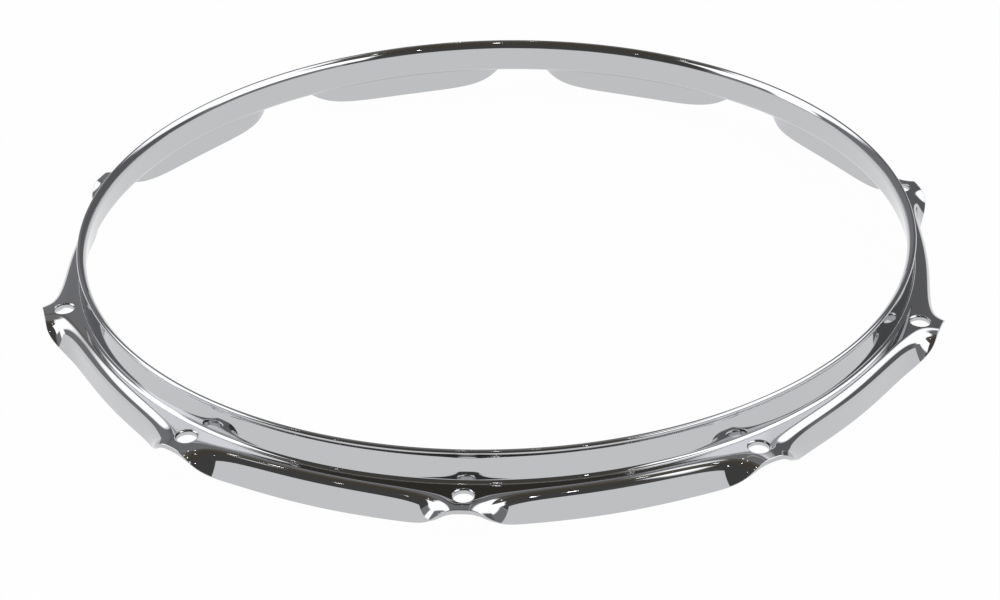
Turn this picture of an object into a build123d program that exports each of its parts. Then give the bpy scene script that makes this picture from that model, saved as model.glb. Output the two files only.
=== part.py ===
"""Ten-lug triple-flanged drum hoop, pressed from one welded ring of steel strip.

The strip is rolled into a ring, its ends are butt welded, and the ring is pressed: a curled rim at
the top, an upright collar, a flat flange that presses on the head, and skirts that fold down between
ten ears. The origin is on the hoop's axis in the plane of the skirts' lower edges, +Z is up towards
the rim, and one ear points along -Y.
"""

from build123d import *
import math
import os

# Sheet and heights
sheet_thickness = 2.3
collar_height = 14.6
skirt_depth = 14.4

# Collar, which leans outward a little from the rim down, and the bend at its foot
collar_inner_radius = 178.8
collar_lean_angle = 8.5
collar_foot_radius = 2.0

# Rim, a lip curled outward at the top of the collar
rim_bend_radius = 4.5
rim_bend_angle = 50.0
rim_straight = 0.5

# Skirts, folded down from the flange round a shoulder; the flange's width is its flat part
skirt_flange_width = 0.3
skirt_fold_angle = 89.0
shoulder_radius = 4.5

# Ears, the tongues between the skirts that stay nearly flat and carry the tension rods
ear_count = 10
ear_flange_width = 4.6
ear_length = 10.3
ear_droop_angle = 5.0

# Distance from an ear's middle, along the circle of holes, at which half of each change from ear to
# skirt is made, and how sharply the change comes
fold_half_distance = 11.7
fold_sharpness = 3.5
length_half_distance = 15.5
radius_half_distance = 21.9
flare_sharpness = 2.7

# Tension rod holes
hole_tip_distance = 8.9
hole_radius = 4.0
hole_rounding = 0.9

# Butt weld that closes the ring, at the middle of a skirt
weld_width = 1.6
weld_ear_steps = 3.5

# Heights and radii of the collar and rim
flange_top = skirt_depth
rim_top = flange_top + collar_height
flange_bottom = flange_top - sheet_thickness
rim_middle_radius = rim_bend_radius - sheet_thickness / 2
rim_outer_bend = rim_bend_radius - sheet_thickness
rim_center_radius = collar_inner_radius + rim_bend_radius
rim_sine = math.sin(math.radians(rim_bend_angle))
rim_cosine = math.cos(math.radians(rim_bend_angle))
rim_end_rise = rim_middle_radius * rim_sine + rim_straight * rim_cosine
rim_center_height = rim_top - sheet_thickness / 2 - rim_end_rise
lean_sine = math.sin(math.radians(collar_lean_angle))
lean_cosine = math.cos(math.radians(collar_lean_angle))
foot_center_height = flange_top + collar_foot_radius
lean_run = (rim_center_height - foot_center_height) * lean_sine
foot_center_radius = rim_center_radius + (collar_foot_radius - rim_outer_bend + lean_run) / lean_cosine

# Sheet beyond the start of the fold: the same length is bent round the shoulder at every place
fold_length = shoulder_radius * math.radians(skirt_fold_angle)
fold_sine = math.sin(math.radians(skirt_fold_angle))
fold_cosine = math.cos(math.radians(skirt_fold_angle))
shoulder_drop = shoulder_radius * (1 - fold_cosine)
edge_drop = sheet_thickness * fold_cosine
skirt_straight = (skirt_depth - shoulder_drop - edge_drop) / fold_sine
skirt_fold_radius = foot_center_radius + skirt_flange_width
ear_fold_radius = foot_center_radius + ear_flange_width
ear_straight = ear_length - fold_length
ear_tip_radius = ear_fold_radius + ear_length
hole_circle_radius = ear_tip_radius - hole_tip_distance
pitch = 2 * math.pi * hole_circle_radius / ear_count

# The turned ring ends inside the start of the skirts' fold, and the pressed spans begin there
join_radius = foot_center_radius + skirt_flange_width / 2
span_root_radius = foot_center_radius - sheet_thickness
sections_per_side = 22


def settle(distance, half_distance, sharpness):
    """Share of the change from ear to skirt that is made at a distance from the ear's middle."""
    arc_share = math.sin(math.pi * abs(distance) / pitch)
    ease = (arc_share * pitch / math.pi / half_distance) ** sharpness
    full_ease = (pitch / math.pi / half_distance) ** sharpness
    return ease / (1 + ease) * (1 + full_ease) / full_ease


def between(ear_value, skirt_value, share):
    """Value that goes from the ear's to the skirt's as share goes from 0 to 1."""
    return ear_value + (skirt_value - ear_value) * share


def section_plane(distance):
    """Upright plane through the axis, at a distance along the circle of holes from the front ear."""
    angle = distance / hole_circle_radius - math.pi / 2
    outward = Vector(math.cos(angle), math.sin(angle), 0)
    return Plane(origin=(0, 0, 0), x_dir=outward, z_dir=outward.cross(Vector(0, 0, 1)))


def draw_span_section(distance):
    """Outline of the sheet in one section plane: flange, fold, then straight skirt or ear."""
    fold_share = settle(distance, fold_half_distance, fold_sharpness)
    length_share = settle(distance, length_half_distance, flare_sharpness)
    radius_share = settle(distance, radius_half_distance, flare_sharpness)
    fold_degrees = between(ear_droop_angle, skirt_fold_angle, fold_share)
    straight = between(ear_straight, skirt_straight, length_share)
    fold_start = between(ear_fold_radius, skirt_fold_radius, radius_share)
    fold = math.radians(fold_degrees)
    outer_bend = fold_length / fold
    inner_bend = outer_bend - sheet_thickness
    center = Vector(fold_start, flange_top - outer_bend)
    normal = Vector(math.sin(fold), math.cos(fold))
    run = Vector(math.cos(fold), -math.sin(fold)) * straight
    Line((span_root_radius, flange_top), (fold_start, flange_top))
    CenterArc(center, outer_bend, 90, -fold_degrees)
    Line(center + normal * outer_bend, center + normal * outer_bend + run)
    Line(center + normal * outer_bend + run, center + normal * inner_bend + run)
    Line(center + normal * inner_bend + run, center + normal * inner_bend)
    CenterArc(center, inner_bend, 90 - fold_degrees, fold_degrees)
    Line((fold_start, flange_bottom), (span_root_radius, flange_bottom))
    Line((span_root_radius, flange_bottom), (span_root_radius, flange_top))


# Punch for one tension rod hole, flared at the top to round the hole's mouth
with BuildPart() as punch:
    with BuildSketch(Plane.XZ):
        with BuildLine():
            mouth_radius = hole_radius + hole_rounding
            mouth_height = flange_top - hole_rounding
            Line((0, 0), (hole_radius, 0))
            Line((hole_radius, 0), (hole_radius, mouth_height))
            CenterArc((mouth_radius, mouth_height), hole_rounding, 180, -90)
            Line((mouth_radius, flange_top), (mouth_radius, rim_top))
            Line((mouth_radius, rim_top), (0, rim_top))
            Line((0, rim_top), (0, 0))
        make_face()
    revolve(axis=Axis.Z)

# One span of flange, from the middle of a skirt across the front ear to the middle of the next skirt
with BuildPart() as flange_span:
    for step in range(-sections_per_side, sections_per_side + 1):
        section_distance = pitch / 2 * step / sections_per_side
        with BuildSketch(section_plane(section_distance)):
            with BuildLine():
                draw_span_section(section_distance)
            make_face()
    loft()
    Cylinder(join_radius, 4 * rim_top, mode=Mode.SUBTRACT)
    with Locations((0, -hole_circle_radius, 0)):
        add(punch.part, mode=Mode.SUBTRACT)

# Rim, collar, foot bend and the inner part of the flange, turned about the axis
with BuildPart() as collar_ring:
    with BuildSketch(Plane.XZ):
        with BuildLine():
            rim_center = Vector(rim_center_radius, rim_center_height)
            rim_normal = Vector(-rim_cosine, rim_sine)
            rim_along = Vector(rim_sine, rim_cosine)
            rim_inside = rim_center + rim_normal * rim_bend_radius
            rim_outside = rim_center + rim_normal * rim_outer_bend
            rim_end = rim_center + rim_normal * rim_middle_radius + rim_along * rim_straight
            rim_sweep = rim_bend_angle + collar_lean_angle
            foot_center = Vector(foot_center_radius, foot_center_height)
            foot_sweep = 90 - collar_lean_angle
            foot_inner_bend = collar_foot_radius + sheet_thickness
            lean_normal = Vector(lean_cosine, lean_sine)
            Line(foot_center - lean_normal * foot_inner_bend, rim_center - lean_normal * rim_bend_radius)
            CenterArc(rim_center, rim_bend_radius, 180 + collar_lean_angle, -rim_sweep)
            Line(rim_inside, rim_inside + rim_along * rim_straight)
            CenterArc(rim_end, sheet_thickness / 2, 180 - rim_bend_angle, -180)
            Line(rim_outside + rim_along * rim_straight, rim_outside)
            CenterArc(rim_center, rim_outer_bend, 180 - rim_bend_angle, rim_sweep)
            Line(rim_center - lean_normal * rim_outer_bend, foot_center - lean_normal * collar_foot_radius)
            CenterArc(foot_center, collar_foot_radius, 180 + collar_lean_angle, foot_sweep)
            Line((foot_center_radius, flange_top), (join_radius, flange_top))
            Line((join_radius, flange_top), (join_radius, flange_bottom))
            Line((join_radius, flange_bottom), (foot_center_radius, flange_bottom))
            CenterArc(foot_center, foot_inner_bend, 270, -foot_sweep)
        make_face()
    revolve(axis=Axis.Z)

# Closed ring of sheet with all its ears
with BuildPart() as pressed_ring:
    add(collar_ring.part)
    with PolarLocations(0, ear_count):
        add(flange_span.part)

# Space of the weld: a thin upright slice through the sheet at the middle of a skirt
with BuildPart() as weld_space:
    with BuildSketch():
        with Locations((ear_tip_radius, 0)):
            Rectangle(2 * ear_tip_radius, weld_width)
    extrude(amount=2 * rim_top, both=True)

weld_angle = -90 + weld_ear_steps * 360 / ear_count

# The strip itself, open where its two ends meet at the weld
with BuildPart() as hoop_band:
    add(pressed_ring.part)
    add(weld_space.part, rotation=(0, 0, weld_angle), mode=Mode.SUBTRACT)

# The weld, ground flush with the strip all round its section
with BuildPart() as butt_weld:
    add(pressed_ring.part)
    add(weld_space.part, rotation=(0, 0, weld_angle), mode=Mode.INTERSECT)

os.makedirs("parts", exist_ok=True)
for name, piece in (("hoop_band", hoop_band), ("butt_weld", butt_weld)):
    piece.part.label = name
    export_step(piece.part, f"parts/{name}.step")
    print(name, len(piece.part.solids()), "solid", piece.part.is_valid, piece.part.bounding_box())
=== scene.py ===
"""Looks of the drum hoop: one chromed, pressed ring of steel sheet and its weld, in a plain studio."""

import math

import bpy
import numpy as np
from mathutils import Matrix, Quaternion, Vector


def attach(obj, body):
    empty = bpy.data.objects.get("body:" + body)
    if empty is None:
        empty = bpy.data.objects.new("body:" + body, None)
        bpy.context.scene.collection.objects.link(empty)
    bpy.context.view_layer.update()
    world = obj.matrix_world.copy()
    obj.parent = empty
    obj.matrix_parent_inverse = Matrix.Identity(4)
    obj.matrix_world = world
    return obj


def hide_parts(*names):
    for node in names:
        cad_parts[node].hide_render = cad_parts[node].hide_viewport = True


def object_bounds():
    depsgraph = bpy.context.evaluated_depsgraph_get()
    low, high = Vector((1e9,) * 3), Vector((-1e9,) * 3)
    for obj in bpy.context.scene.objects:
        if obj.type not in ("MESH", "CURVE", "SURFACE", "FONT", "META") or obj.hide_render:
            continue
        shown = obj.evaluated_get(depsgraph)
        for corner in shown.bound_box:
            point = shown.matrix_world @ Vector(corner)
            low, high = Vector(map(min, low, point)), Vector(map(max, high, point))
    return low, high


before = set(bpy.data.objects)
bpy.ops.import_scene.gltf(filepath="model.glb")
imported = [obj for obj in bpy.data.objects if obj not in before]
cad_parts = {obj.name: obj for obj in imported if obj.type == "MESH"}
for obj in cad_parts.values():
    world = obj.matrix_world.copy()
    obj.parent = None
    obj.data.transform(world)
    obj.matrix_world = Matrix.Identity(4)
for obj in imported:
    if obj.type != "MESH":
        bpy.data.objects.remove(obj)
cad_low, cad_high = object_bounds()

MM = 0.001

# Sheet, as pressed: the same sizes as the solids, in millimetres
SHEET = 2.3
SKIRT_DEPTH = 14.4
COLLAR_INNER_RADIUS = 178.8
COLLAR_LEAN_ANGLE = 8.5
COLLAR_FOOT_RADIUS = 2.0
RIM_BEND_RADIUS = 4.5
RIM_BEND_ANGLE = 50.0
RIM_STRAIGHT = 0.5
SKIRT_FLANGE_WIDTH = 0.3
SKIRT_FOLD_ANGLE = 89.0
SHOULDER_RADIUS = 4.5
EAR_COUNT = 10
EAR_FLANGE_WIDTH = 4.6
EAR_LENGTH = 10.3
EAR_DROOP_ANGLE = 5.0
FOLD_HALF_DISTANCE = 11.7
FOLD_SHARPNESS = 3.5
LENGTH_HALF_DISTANCE = 15.5
RADIUS_HALF_DISTANCE = 21.9
FLARE_SHARPNESS = 2.7
HOLE_TIP_DISTANCE = 8.9
HOLE_RADIUS = 4.0
HOLE_ROUNDING = 0.9
WELD_WIDTH = 1.6
WELD_EAR_STEPS = 3.5

# What pressing and polishing leave at the sheet's cut edges
EDGE_ROUNDING = 0.35
HOLE_BURR_ROUNDING = 0.2

# Heights and radii that follow from them
RIM_TOP = cad_high.z / MM
FLANGE_TOP = SKIRT_DEPTH
RIM_CENTER_RADIUS = COLLAR_INNER_RADIUS + RIM_BEND_RADIUS
RIM_ANGLE = math.radians(RIM_BEND_ANGLE)
RIM_MIDDLE_RADIUS = RIM_BEND_RADIUS - SHEET / 2
RIM_END_RISE = RIM_MIDDLE_RADIUS * math.sin(RIM_ANGLE) + RIM_STRAIGHT * math.cos(RIM_ANGLE)
RIM_CENTER_HEIGHT = RIM_TOP - SHEET / 2 - RIM_END_RISE
RIM_OUTER_BEND = RIM_BEND_RADIUS - SHEET
LEAN = math.radians(COLLAR_LEAN_ANGLE)
FOOT_HEIGHT = FLANGE_TOP + COLLAR_FOOT_RADIUS
LEAN_RUN = (RIM_CENTER_HEIGHT - FOOT_HEIGHT) * math.sin(LEAN)
FOOT_RADIUS = RIM_CENTER_RADIUS + (COLLAR_FOOT_RADIUS - RIM_OUTER_BEND + LEAN_RUN) / math.cos(LEAN)
SKIRT_FOLD = math.radians(SKIRT_FOLD_ANGLE)
FOLD_LENGTH = SHOULDER_RADIUS * SKIRT_FOLD
SHOULDER_DROP = SHOULDER_RADIUS * (1 - math.cos(SKIRT_FOLD))
EDGE_DROP = SHEET * math.cos(SKIRT_FOLD)
SKIRT_STRAIGHT = (SKIRT_DEPTH - SHOULDER_DROP - EDGE_DROP) / math.sin(SKIRT_FOLD)
SKIRT_FOLD_RADIUS = FOOT_RADIUS + SKIRT_FLANGE_WIDTH
EAR_FOLD_RADIUS = FOOT_RADIUS + EAR_FLANGE_WIDTH
EAR_STRAIGHT = EAR_LENGTH - FOLD_LENGTH
HOLE_CIRCLE_RADIUS = EAR_FOLD_RADIUS + EAR_LENGTH - HOLE_TIP_DISTANCE
PITCH = 2 * math.pi * HOLE_CIRCLE_RADIUS / EAR_COUNT
MOUTH_RADIUS = HOLE_RADIUS + HOLE_ROUNDING

# Sections along the circle of holes: fine at the ears, coarser along the skirts
EAR_STEP = 0.65
EAR_STEPS = 40
SKIRT_STEPS = 22

# Steps along the outline of each section
WALL_STEPS = 2
ARC_STEPS = 8
FLANGE_STEPS = 8
FOLD_STEPS = 12
STRAIGHT_STEPS = 10
EDGE_STEPS = 3
CORNER_STEPS = 3

# The block of mesh round each hole that is rebuilt as rings
PATCH_EAR_STEPS = 10
PATCH_RINGS = 6
HOLE_WALL_STEPS = 3

# Camera, from the photograph's perspective
CAMERA_DISTANCE = 1.11218
CAMERA_ELEVATION = 0.5061
CAMERA_AZIMUTH = 0.07883
CAMERA_PAN = -0.0008
CAMERA_TILT = -0.0330
CAMERA_ROLL = 0.0262
CAMERA_LENS = 91.17
SENSOR_WIDTH = 36.0

PLATING_COLOUR = (0.52, 0.525, 0.54)

FLOOR_HALF_SIZE = 6.0
FLOOR_WHITE_SHARE = 0.98

# Studio seen in the chrome: headings in degrees right of straight towards the camera, and heights.
# Each panel has its left and right edge, its low and high edge at a heading of 0 and how fast those
# two rise with the heading, half the width of its soft edge, and its light. A later one covers an
# earlier one. A low edge of -30 is under the floor.
ROOM_COLOUR = (0.135, 0.122, 0.100)
STUDIO_PANELS = (
    # Dim walls: behind on the left, behind on the right, and the camera's side, high and low
    (-180.0, -98.0, -30.0, 34.0, 0.0, 0.0, 5.0, (0.27, 0.27, 0.28)),
    (92.0, 180.0, -30.0, 44.0, 0.0, 0.0, 5.0, (0.17, 0.17, 0.175)),
    (-80.0, 50.0, -30.0, 76.0, 0.0, 0.0, 6.0, (0.092, 0.082, 0.064)),
    (-66.0, 40.0, -30.0, 48.0, 0.0, 0.0, 8.0, (0.085, 0.083, 0.080)),
    # Bright screens above the walls behind, left and right, and the grey over their far corners
    (-155.0, -94.0, -12.0, 57.0, -0.333, 0.0, 3.0, (1.9, 1.9, 1.9)),
    (80.0, 180.0, 3.0, 73.0, 0.23, 0.0, 3.0, (1.9, 1.9, 1.9)),
    (-180.0, -114.0, 136.0, 95.0, 0.633, 0.0, 3.0, (0.25, 0.25, 0.25)),
    (116.0, 180.0, 136.0, 95.0, -0.525, 0.0, 3.0, (0.25, 0.25, 0.25)),
    # Softboxes, left and right, and the grey and dark that cover the lower part of each
    (-98.0, -65.0, -30.0, 51.0, 0.0, 0.0, 2.5, (2.2, 2.2, 2.2)),
    (42.0, 92.0, -30.0, 36.0, 0.0, 0.2, 2.5, (2.2, 2.2, 2.2)),
    (-82.0, -60.0, -30.0, 20.0, 0.0, 0.0, 3.0, (0.31, 0.31, 0.31)),
    (48.0, 96.0, -30.0, 20.0, 0.0, 0.0, 3.0, (0.28, 0.28, 0.28)),
    (30.0, 49.0, -30.0, 20.0, 0.0, 0.0, 3.0, (0.11, 0.108, 0.104)),
)
# Small round lamps: heading, height, angle from the middle to the edge, and light
STUDIO_LAMPS = (
    (27.0, 36.0, 0.6, 40.0),
    (-42.0, 38.0, 0.6, 12.0),
    (2.0, 66.0, 0.9, 20.0),
    (54.0, 61.0, 0.8, 10.0),
    (-79.0, 59.0, 0.8, 10.0),
    (-80.0, 85.0, 0.8, 12.0),
    (162.0, 81.0, 0.8, 12.0),
)


def settle(distance, half_distance, sharpness):
    """Share of the change from ear to skirt that is made at a distance from the ear's middle."""
    arc_share = np.abs(np.sin(math.pi * distance / PITCH))
    ease = (arc_share * PITCH / math.pi / half_distance) ** sharpness
    full_ease = (PITCH / math.pi / half_distance) ** sharpness
    return ease / (1 + ease) * (1 + full_ease) / full_ease


def between(ear_value, skirt_value, share):
    """Value that goes from the ear's to the skirt's as share goes from 0 to 1."""
    return ear_value + (skirt_value - ear_value) * share


def fold_at(distance):
    """Fold angle, straight length and fold radius of the sheet at these distances from an ear."""
    fold_share = settle(distance, FOLD_HALF_DISTANCE, FOLD_SHARPNESS)
    length_share = settle(distance, LENGTH_HALF_DISTANCE, FLARE_SHARPNESS)
    radius_share = settle(distance, RADIUS_HALF_DISTANCE, FLARE_SHARPNESS)
    fold = np.radians(between(EAR_DROOP_ANGLE, SKIRT_FOLD_ANGLE, fold_share))
    straight = between(EAR_STRAIGHT, SKIRT_STRAIGHT, length_share)
    fold_radius = between(EAR_FOLD_RADIUS, SKIRT_FOLD_RADIUS, radius_share)
    return fold, straight, fold_radius


def arc(center, radius, start, sweep, steps):
    """Points and tangents along an arc in each section; angles in radians."""
    start, sweep, radius = (np.asarray(value, float)[..., None] for value in (start, sweep, radius))
    angle = start + sweep * np.linspace(0, 1, steps + 1)
    turn = np.stack([np.cos(angle), np.sin(angle)], -1)
    points = np.asarray(center)[..., None, :] + radius[..., None] * turn
    tangents = np.stack([-turn[..., 1], turn[..., 0]], -1) * np.sign(sweep)[..., None]
    return points, tangents


def line(start, end, steps):
    """Points and tangents along a straight run in each section."""
    run = np.asarray(end, float) - np.asarray(start, float)
    share = np.linspace(0, 1, steps + 1)[:, None]
    points = np.asarray(start, float)[..., None, :] + run[..., None, :] * share
    along = run / np.linalg.norm(run, axis=-1, keepdims=True)
    return points, np.broadcast_to(along[..., None, :], points.shape)


def section(distance):
    """Closed outline of the sheet at each distance, as radius and height, with its tangents.

    It runs up the collar's inner wall, over the rim, down the outer wall, out along the flange, round
    the fold to the cut edge, and back along the underside.
    """
    count = len(distance)
    fold, straight, fold_radius = fold_at(distance)
    outer_bend = FOLD_LENGTH / fold
    inner_bend = outer_bend - SHEET
    center = np.stack([fold_radius, FLANGE_TOP - outer_bend], -1)
    normal = np.stack([np.sin(fold), np.cos(fold)], -1)
    along = np.stack([np.cos(fold), -np.sin(fold)], -1)
    plain = along * (straight - EDGE_ROUNDING)[:, None]
    outer_start = center + normal * outer_bend[:, None]
    inner_start = center + normal * inner_bend[:, None]
    outer_corner = outer_start + plain - normal * EDGE_ROUNDING
    inner_corner = inner_start + plain + normal * EDGE_ROUNDING
    facing = math.pi / 2 - fold
    upright = np.full(count, math.pi / 2)
    rounding = np.full(count, EDGE_ROUNDING)
    foot = np.full(count, FOOT_RADIUS)
    top = np.full(count, FLANGE_TOP)

    rim_center = np.array([RIM_CENTER_RADIUS, RIM_CENTER_HEIGHT])
    rim_normal = np.array([-math.cos(RIM_ANGLE), math.sin(RIM_ANGLE)])
    rim_run = np.array([math.sin(RIM_ANGLE), math.cos(RIM_ANGLE)]) * RIM_STRAIGHT
    rim_inside = rim_center + rim_normal * RIM_BEND_RADIUS
    rim_outside = rim_center + rim_normal * RIM_OUTER_BEND
    rim_end = rim_center + rim_normal * RIM_MIDDLE_RADIUS + rim_run
    rim_sweep = RIM_ANGLE + LEAN
    foot_center = np.array([FOOT_RADIUS, FOOT_HEIGHT])
    foot_sweep = math.pi / 2 - LEAN
    lean_normal = np.array([math.cos(LEAN), math.sin(LEAN)])
    wall_top = rim_center - lean_normal * RIM_OUTER_BEND
    wall_foot = foot_center - lean_normal * COLLAR_FOOT_RADIUS
    through = lean_normal * SHEET
    runs = [
        line(wall_foot - through, wall_top - through, WALL_STEPS),
        arc(rim_center, RIM_BEND_RADIUS, math.pi + LEAN, -rim_sweep, ARC_STEPS),
        line(rim_inside, rim_inside + rim_run, 1),
        arc(rim_end, SHEET / 2, math.pi - RIM_ANGLE, -math.pi, 2 * ARC_STEPS),
        line(rim_outside + rim_run, rim_outside, 1),
        arc(rim_center, RIM_OUTER_BEND, math.pi - RIM_ANGLE, rim_sweep, ARC_STEPS),
        line(wall_top, wall_foot, WALL_STEPS),
        arc(foot_center, COLLAR_FOOT_RADIUS, math.pi + LEAN, foot_sweep, ARC_STEPS),
        line(np.stack([foot, top], -1), np.stack([fold_radius, top], -1), FLANGE_STEPS),
        arc(center, outer_bend, upright, -fold, FOLD_STEPS),
        line(outer_start, outer_start + plain, STRAIGHT_STEPS),
        arc(outer_corner, rounding, facing, -upright, CORNER_STEPS),
        line(outer_corner + along * EDGE_ROUNDING, inner_corner + along * EDGE_ROUNDING, EDGE_STEPS),
        arc(inner_corner, rounding, facing - upright, -upright, CORNER_STEPS),
        line(inner_start + plain, inner_start, STRAIGHT_STEPS),
        arc(center, inner_bend, facing, fold, FOLD_STEPS),
        line(np.stack([fold_radius, top - SHEET], -1), np.stack([foot, top - SHEET], -1), FLANGE_STEPS),
        arc(foot_center, COLLAR_FOOT_RADIUS + SHEET, -math.pi / 2, -foot_sweep, ARC_STEPS),
    ]
    points = [np.broadcast_to(run[0][..., :-1, :], (count, run[0].shape[-2] - 1, 2)) for run in runs]
    tangents = [np.broadcast_to(run[1][..., :-1, :], (count, run[1].shape[-2] - 1, 2)) for run in runs]
    return np.concatenate(points, 1), np.concatenate(tangents, 1)


# Where the outline's runs begin, as counts of points along it
RIM_END_MIDDLE = WALL_STEPS + ARC_STEPS + 1 + ARC_STEPS
TOP_START = 2 * WALL_STEPS + 5 * ARC_STEPS + 2
TOP_END = TOP_START + FLANGE_STEPS + FOLD_STEPS + STRAIGHT_STEPS
UNDERSIDE_START = TOP_END + 2 * CORNER_STEPS + EDGE_STEPS
UNDERSIDE_END = UNDERSIDE_START + STRAIGHT_STEPS + FOLD_STEPS + FLANGE_STEPS
PATCH_TOP = (TOP_START + 1, TOP_END - STRAIGHT_STEPS // 2)
PATCH_UNDERSIDE = (UNDERSIDE_END - 1, UNDERSIDE_START + STRAIGHT_STEPS // 2)


def turned(distance, outline):
    """Places of outline points, in millimetres, at a distance along the circle of holes from +X."""
    angle = (distance / HOLE_CIRCLE_RADIUS)[:, None]
    r, z = outline[..., 0], outline[..., 1]
    return np.stack([r * np.cos(angle), r * np.sin(angle), z], -1)


def unit(vectors):
    """The same directions, one long."""
    return vectors / np.linalg.norm(vectors, axis=-1, keepdims=True)


def swept(distance):
    """Places and outward normals of the sheet's surface at these distances, ears at whole pitches."""
    nudge = 0.05
    points, tangents = section(distance)
    ahead = turned(distance + nudge, section(distance + nudge)[0])
    behind = turned(distance - nudge, section(distance - nudge)[0])
    angle = (distance / HOLE_CIRCLE_RADIUS)[:, None]
    r, z = tangents[..., 0], tangents[..., 1]
    along = np.stack([r * np.cos(angle), r * np.sin(angle), z], -1)
    return turned(distance, points), unit(np.cross(along, ahead - behind))


def face_height(x, y, depth):
    """Height of the sheet's upper face over a point near the ear on +X, or of one at a depth in it."""
    distance = np.arctan2(y, x) * HOLE_CIRCLE_RADIUS
    fold, _, fold_radius = fold_at(distance)
    outer_bend = FOLD_LENGTH / fold
    bend = outer_bend - depth
    past = np.hypot(x, y) - fold_radius
    bend_run = bend * np.sin(fold)
    on_bend = np.sqrt(bend ** 2 - np.clip(past, 0, bend_run) ** 2)
    return FLANGE_TOP - outer_bend + on_bend - np.maximum(past - bend_run, 0) * np.tan(fold)


def face_normal(x, y, depth):
    """Upward normal of that face."""
    nudge = 0.02
    slope_x = (face_height(x + nudge, y, depth) - face_height(x - nudge, y, depth)) / (2 * nudge)
    slope_y = (face_height(x, y + nudge, depth) - face_height(x, y - nudge, depth)) / (2 * nudge)
    return unit(np.stack([-slope_x, -slope_y, np.ones_like(x)], -1))


def patch_rings(border, depth, rim_radius):
    """Rings of places and upward normals from a border loop in to a circle round the hole on +X."""
    across = border[:, :2] - (HOLE_CIRCLE_RADIUS, 0)
    outward = unit(across)
    rings = []
    for ring in range(1, PATCH_RINGS + 1):
        share = ring / PATCH_RINGS
        plan = across * (1 - share) + outward * rim_radius * share
        x, y = plan[:, 0] + HOLE_CIRCLE_RADIUS, plan[:, 1]
        rings.append((np.stack([x, y, face_height(x, y, depth)], -1), face_normal(x, y, depth)))
    return rings, outward


def hole_rings(top_border, low_border):
    """Rings from the upper border, through the hole's rounded mouth and wall, to the lower border."""
    top_rings, outward = patch_rings(top_border, 0, MOUTH_RADIUS)
    low_rings, low_outward = patch_rings(low_border, SHEET, HOLE_RADIUS + HOLE_BURR_ROUNDING)
    mouth_height = top_rings[-1][0][:, 2]
    low_height = low_rings[-1][0][:, 2]

    def ring(direction, radius, height, lean):
        places = np.column_stack([direction * radius + (HOLE_CIRCLE_RADIUS, 0), height])
        rise = np.full(len(height), math.sin(lean))
        return places, np.column_stack([-direction * math.cos(lean), rise])

    rings = list(top_rings)
    for step in range(1, ARC_STEPS + 1):
        turn = math.pi / 2 * step / ARC_STEPS
        radius = MOUTH_RADIUS - HOLE_ROUNDING * math.sin(turn)
        drop = HOLE_ROUNDING * (1 - math.cos(turn))
        rings.append(ring(outward, radius, mouth_height - drop, math.pi / 2 - turn))
    wall_top = mouth_height - HOLE_ROUNDING
    wall_bottom = low_height + HOLE_BURR_ROUNDING
    for step in range(1, HOLE_WALL_STEPS + 1):
        share = step / HOLE_WALL_STEPS
        direction = unit(between(outward, low_outward, share))
        rings.append(ring(direction, HOLE_RADIUS, between(wall_top, wall_bottom, share), 0))
    for step in range(1, CORNER_STEPS):
        turn = math.pi / 2 * step / CORNER_STEPS
        radius = HOLE_RADIUS + HOLE_BURR_ROUNDING * (1 - math.cos(turn))
        rise = HOLE_BURR_ROUNDING * (1 - math.sin(turn))
        rings.append(ring(low_outward, radius, low_height + rise, -turn))
    return rings + [(places, -normals) for places, normals in reversed(low_rings)]


def border_of(values, first, last, near, far):
    """Values along a block's border: out along the side near the collar, round and back."""
    step = 1 if far > near else -1
    return np.concatenate([
        values[first:last, near],
        values[last, near:far:step],
        values[last:first:-1, far],
        values[first, far:near:-step],
    ])


def add_hole(surface, grid, places, ear, first, last):
    """Rebuilds the block of mesh between two sections of an ear as rings round its hole."""
    angle = ear * PITCH / HOLE_CIRCLE_RADIUS
    turn = np.array(Matrix.Rotation(angle, 3, "Z"))
    top_border = border_of(grid, first, last, *PATCH_TOP)
    low_border = border_of(grid, first, last, *PATCH_UNDERSIDE)
    rings = hole_rings(
        border_of(places, first, last, *PATCH_TOP) @ turn,
        border_of(places, first, last, *PATCH_UNDERSIDE) @ turn,
    )
    loops = [top_border]
    for ring_places, ring_normals in rings:
        loops.append(surface.add(ring_places @ turn.T, ring_normals @ turn.T))
    loops.append(low_border)
    for loop, following in zip(loops, loops[1:]):
        corners = [loop, following, np.roll(following, -1), np.roll(loop, -1)]
        surface.faces += np.stack(corners, -1).tolist()


def cap_faces(cap, sign):
    """Faces across the sheet between the two sides of a section's outline, facing onward for sign 1."""
    size = len(cap)
    faces = []
    for step in range(size // 2):
        ahead, behind = RIM_END_MIDDLE + step, RIM_END_MIDDLE - step
        corners = [ahead, ahead + 1, behind - 1, behind] if step else [ahead, ahead + 1, behind - 1]
        faces.append([int(cap[corner % size]) for corner in corners[::sign]])
    return faces


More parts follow.
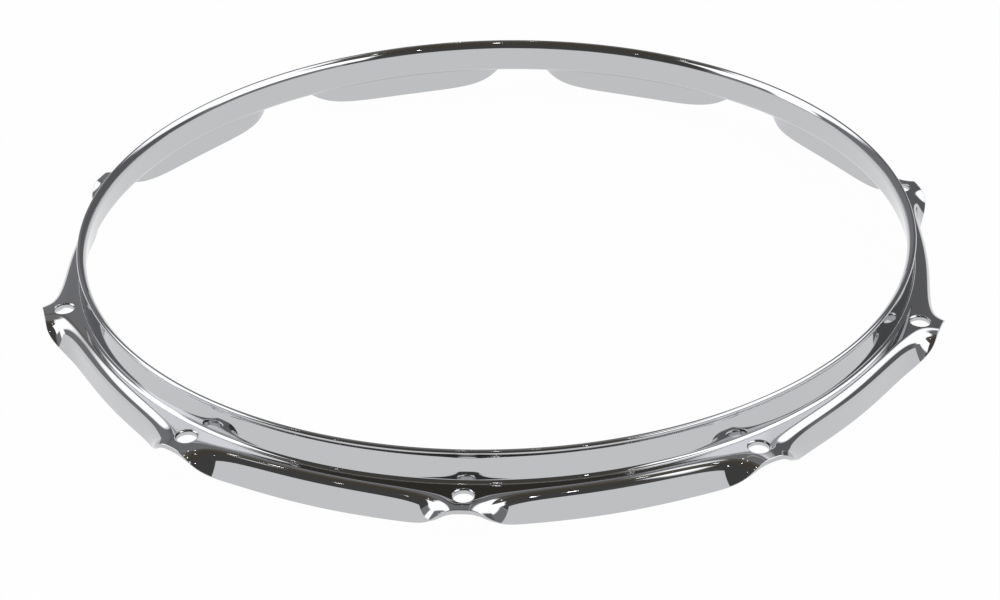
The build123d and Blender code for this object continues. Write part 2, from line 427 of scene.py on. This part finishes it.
class Surface:
    """Vertices with their own normals, and faces, gathered before they become a mesh."""

    def __init__(self):
        self.places = []
        self.normals = []
        self.faces = []
        self.count = 0

    def add(self, places, normals):
        """Adds vertices and returns their numbers in the same layout."""
        layout = places.shape[:-1]
        numbers = np.arange(self.count, self.count + math.prod(layout)).reshape(layout)
        self.places.append(places.reshape(-1, 3))
        self.normals.append(np.broadcast_to(normals, places.shape).reshape(-1, 3))
        self.count += math.prod(layout)
        return numbers

    def mesh(self, name):
        """A smooth mesh in metres, turned so that an ear is on -Y."""
        turn = np.array(Matrix.Rotation(-math.pi / 2, 3, "Z")).T
        made = bpy.data.meshes.new(name)
        made.from_pydata((np.concatenate(self.places) @ turn * MM).tolist(), [], self.faces)
        made.polygons.foreach_set("use_smooth", [True] * len(made.polygons))
        made.normals_split_custom_set_from_vertices((np.concatenate(self.normals) @ turn).tolist())
        return made


def section_distances(start, end, ears):
    """Distances of the sections from start to end, finer near the ears."""
    fine = np.arange(EAR_STEPS) * EAR_STEP
    coarse = np.linspace(EAR_STEPS * EAR_STEP, PITCH / 2, SKIRT_STEPS, endpoint=False)
    half = np.concatenate([fine, coarse])
    pitch = np.concatenate([[-PITCH / 2], -half[:0:-1], half])
    marks = np.concatenate([ear * PITCH + pitch for ear in ears])
    inside = marks[(marks > start + EAR_STEP / 2) & (marks < end - EAR_STEP / 2)]
    return np.concatenate([[start], inside, [end]])


def build_piece(name, start, end, ears, holes):
    """Closed mesh of the sheet between two distances, with the holes of the ears that it holds."""
    distance = section_distances(start, end, ears)
    surface = Surface()
    places, normals = swept(distance)
    grid = surface.add(places, normals)
    cut = np.zeros(grid.shape, bool)
    for ear in holes:
        middle = int(np.argmin(np.abs(distance - ear * PITCH)))
        first, last = middle - PATCH_EAR_STEPS, middle + PATCH_EAR_STEPS
        for block in (PATCH_TOP, PATCH_UNDERSIDE):
            cut[first:last, min(block):max(block)] = True
        add_hole(surface, grid, places, ear, first, last)
    rows, columns = np.nonzero(~cut[:-1])
    following = (columns + 1) % grid.shape[1]
    corners = [
        grid[rows, columns], grid[rows, following],
        grid[rows + 1, following], grid[rows + 1, columns],
    ]
    surface.faces += np.stack(corners, -1).tolist()
    for row, sign in ((0, -1), (-1, 1)):
        angle = distance[row] / HOLE_CIRCLE_RADIUS
        facing = np.array([-math.sin(angle), math.cos(angle), 0]) * sign
        surface.faces += cap_faces(surface.add(places[row], facing), sign)
    piece = bpy.data.objects.new(name, surface.mesh(name))
    bpy.context.scene.collection.objects.link(piece)
    return piece


def node(tree, kind, **inputs):
    """A new node; a keyword sets a property, or the input of that name with _ for a space."""
    made = tree.nodes.new(kind)
    for name, value in inputs.items():
        if hasattr(made, name):
            setattr(made, name, value)
        else:
            made.inputs[name.replace("_", " ")].default_value = value
    return made


def math_of(tree, operation, first, second=0.0):
    """Output of a Math node; each input is a socket or a number."""
    made = node(tree, "ShaderNodeMath", operation=operation)
    for socket, value in zip(made.inputs, (first, second)):
        if isinstance(value, float):
            socket.default_value = value
        else:
            tree.links.new(value, socket)
    return made.outputs["Value"]


def chrome():
    """Bright chrome plating: a mirror with faint ripples from the press and traces of the polishing."""
    material = bpy.data.materials.new("chrome_plating")
    material.use_nodes = True
    tree = material.node_tree
    tree.nodes.clear()
    output = node(tree, "ShaderNodeOutputMaterial")
    shader = node(tree, "ShaderNodeBsdfPrincipled", Metallic=1.0, Base_Color=(*PLATING_COLOUR, 1.0))
    place = node(tree, "ShaderNodeTexCoord")
    polish = node(tree, "ShaderNodeTexNoise", Scale=420.0, Detail=4.0, Roughness=0.6)
    haze = node(tree, "ShaderNodeMapRange", From_Min=0.3, From_Max=0.7, To_Min=0.025, To_Max=0.055)
    ripple = node(tree, "ShaderNodeTexNoise", Scale=60.0, Detail=1.0)
    bump = node(tree, "ShaderNodeBump", Strength=1.0, Distance=0.000004)
    link = tree.links.new
    link(place.outputs["Object"], polish.inputs["Vector"])
    link(place.outputs["Object"], ripple.inputs["Vector"])
    link(polish.outputs["Fac"], haze.inputs["Value"])
    link(haze.outputs["Result"], shader.inputs["Roughness"])
    link(ripple.outputs["Fac"], bump.inputs["Height"])
    link(bump.outputs["Normal"], shader.inputs["Normal"])
    link(shader.outputs["BSDF"], output.inputs["Surface"])
    return material


def add_floor():
    """White table, wide enough to fill the view."""
    half = FLOOR_HALF_SIZE
    corners = [(-half, -half, 0), (half, -half, 0), (half, half, 0), (-half, half, 0)]
    mesh = bpy.data.meshes.new("floor")
    mesh.from_pydata(corners, [], [(0, 1, 2, 3)])
    floor = bpy.data.objects.new("floor", mesh)
    bpy.context.scene.collection.objects.link(floor)
    material = bpy.data.materials.new("white_table")
    material.use_nodes = True
    tree = material.node_tree
    tree.nodes.clear()
    output = node(tree, "ShaderNodeOutputMaterial")
    paper = node(tree, "ShaderNodeBsdfDiffuse", Color=(0.8, 0.8, 0.8, 1.0))
    white = node(tree, "ShaderNodeEmission", Color=(1.0, 1.0, 1.0, 1.0), Strength=1.0)
    path = node(tree, "ShaderNodeLightPath")
    seen = math_of(tree, "MAXIMUM", path.outputs["Is Camera Ray"], path.outputs["Is Glossy Ray"])
    mix = node(tree, "ShaderNodeMixShader")
    link = tree.links.new
    link(math_of(tree, "MULTIPLY", seen, FLOOR_WHITE_SHARE), mix.inputs[0])
    link(paper.outputs["BSDF"], mix.inputs[1])
    link(white.outputs["Emission"], mix.inputs[2])
    link(mix.outputs["Shader"], output.inputs["Surface"])
    mesh.materials.append(material)


def edge(tree, value, start, end):
    """Goes smoothly from 0 to 1 as the value goes from start to end."""
    ramp = node(
        tree, "ShaderNodeMapRange", interpolation_type="SMOOTHSTEP", From_Min=start, From_Max=end)
    tree.links.new(value, ramp.inputs["Value"])
    return ramp.outputs["Result"]


def paint(tree, under, colour, share):
    """The colour laid over what is under it, by the share."""
    mix = node(tree, "ShaderNodeMixRGB", Color2=(*colour, 1.0))
    tree.links.new(share, mix.inputs["Fac"])
    tree.links.new(under, mix.inputs["Color1"])
    return mix.outputs["Color"]


def add_world():
    """Studio round the hoop for its reflections: panels and lamps in a dim room, white to the camera."""
    world = bpy.data.worlds.new("studio")
    bpy.context.scene.world = world
    world.use_nodes = True
    tree = world.node_tree
    tree.nodes.clear()
    output = node(tree, "ShaderNodeOutputWorld")
    background = node(tree, "ShaderNodeBackground", Strength=1.0)
    place = node(tree, "ShaderNodeTexCoord")
    axes = node(tree, "ShaderNodeSeparateXYZ")
    tree.links.new(place.outputs["Generated"], axes.inputs["Vector"])
    forward = math_of(tree, "MULTIPLY", axes.outputs["Y"], -1.0)
    heading = math_of(tree, "DEGREES", math_of(tree, "ARCTAN2", axes.outputs["X"], forward))
    height = math_of(tree, "DEGREES", math_of(tree, "ARCSINE", axes.outputs["Z"]))
    room = node(tree, "ShaderNodeRGB")
    room.outputs["Color"].default_value = (*ROOM_COLOUR, 1.0)
    colour = room.outputs["Color"]
    for left, right, low, high, low_rise, high_rise, soft, panel in STUDIO_PANELS:
        above_low = math_of(tree, "SUBTRACT", height, math_of(tree, "MULTIPLY", heading, low_rise))
        above_high = math_of(tree, "SUBTRACT", height, math_of(tree, "MULTIPLY", heading, high_rise))
        share = edge(tree, heading, left - soft, left + soft)
        share = math_of(tree, "MULTIPLY", share, edge(tree, heading, right + soft, right - soft))
        share = math_of(tree, "MULTIPLY", share, edge(tree, above_low, low - soft, low + soft))
        share = math_of(tree, "MULTIPLY", share, edge(tree, above_high, high + soft, high - soft))
        colour = paint(tree, colour, panel, share)
    for lamp_heading, lamp_height, size, strength in STUDIO_LAMPS:
        turn, rise = math.radians(lamp_heading), math.radians(lamp_height)
        aim = node(tree, "ShaderNodeVectorMath", operation="DOT_PRODUCT")
        aim.inputs[1].default_value = (
            math.sin(turn) * math.cos(rise), -math.cos(turn) * math.cos(rise), math.sin(rise))
        tree.links.new(place.outputs["Generated"], aim.inputs[0])
        outer, inner = math.cos(math.radians(size)), math.cos(math.radians(size / 2))
        share = edge(tree, aim.outputs["Value"], outer, inner)
        colour = paint(tree, colour, (strength,) * 3, share)
    path = node(tree, "ShaderNodeLightPath")
    colour = paint(tree, colour, (1.0,) * 3, path.outputs["Is Camera Ray"])
    tree.links.new(colour, background.inputs["Color"])
    tree.links.new(background.outputs["Background"], output.inputs["Surface"])


def add_camera():
    """Camera at the photograph's place and aim."""
    level, side = math.cos(CAMERA_ELEVATION), math.sin(CAMERA_AZIMUTH)
    back = Vector((side * level, -math.cos(CAMERA_AZIMUTH) * level, math.sin(CAMERA_ELEVATION)))
    forward = -back
    right = Vector((math.cos(CAMERA_AZIMUTH), side, 0))
    up = right.cross(forward)
    pan = Quaternion(up, CAMERA_PAN)
    forward, right = pan @ forward, pan @ right
    tilt = Quaternion(right, CAMERA_TILT)
    forward, up = tilt @ forward, tilt @ up
    roll = Quaternion(forward, CAMERA_ROLL)
    right, up = roll @ right, roll @ up
    data = bpy.data.cameras.new("camera")
    data.lens = CAMERA_LENS
    data.sensor_width = SENSOR_WIDTH
    camera = bpy.data.objects.new("camera", data)
    place = Vector((0, 0, RIM_TOP * MM)) + back * CAMERA_DISTANCE
    turn = Matrix((right, up, -forward)).transposed().to_4x4()
    camera.matrix_world = Matrix.Translation(place) @ turn
    bpy.context.scene.collection.objects.link(camera)
    bpy.context.scene.camera = camera


weld_place = WELD_EAR_STEPS * PITCH
first_ear = math.ceil(WELD_EAR_STEPS) - EAR_COUNT
last_ear = math.floor(WELD_EAR_STEPS)
band_start = weld_place + WELD_WIDTH / 2 - EAR_COUNT * PITCH
band_end = weld_place - WELD_WIDTH / 2
ears = range(first_ear, last_ear + 1)
band = build_piece("pressed_band", band_start, band_end, ears, ears)
weld = build_piece("ground_weld", band_end, weld_place + WELD_WIDTH / 2, [last_ear], [])
plating = chrome()
for piece, replaced in ((band, "hoop_band"), (weld, "butt_weld")):
    piece.data.materials.append(plating)
    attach(piece, "root")
    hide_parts(replaced)

add_floor()
add_world()
add_camera()
bpy.context.scene.view_settings.view_transform = "Standard"
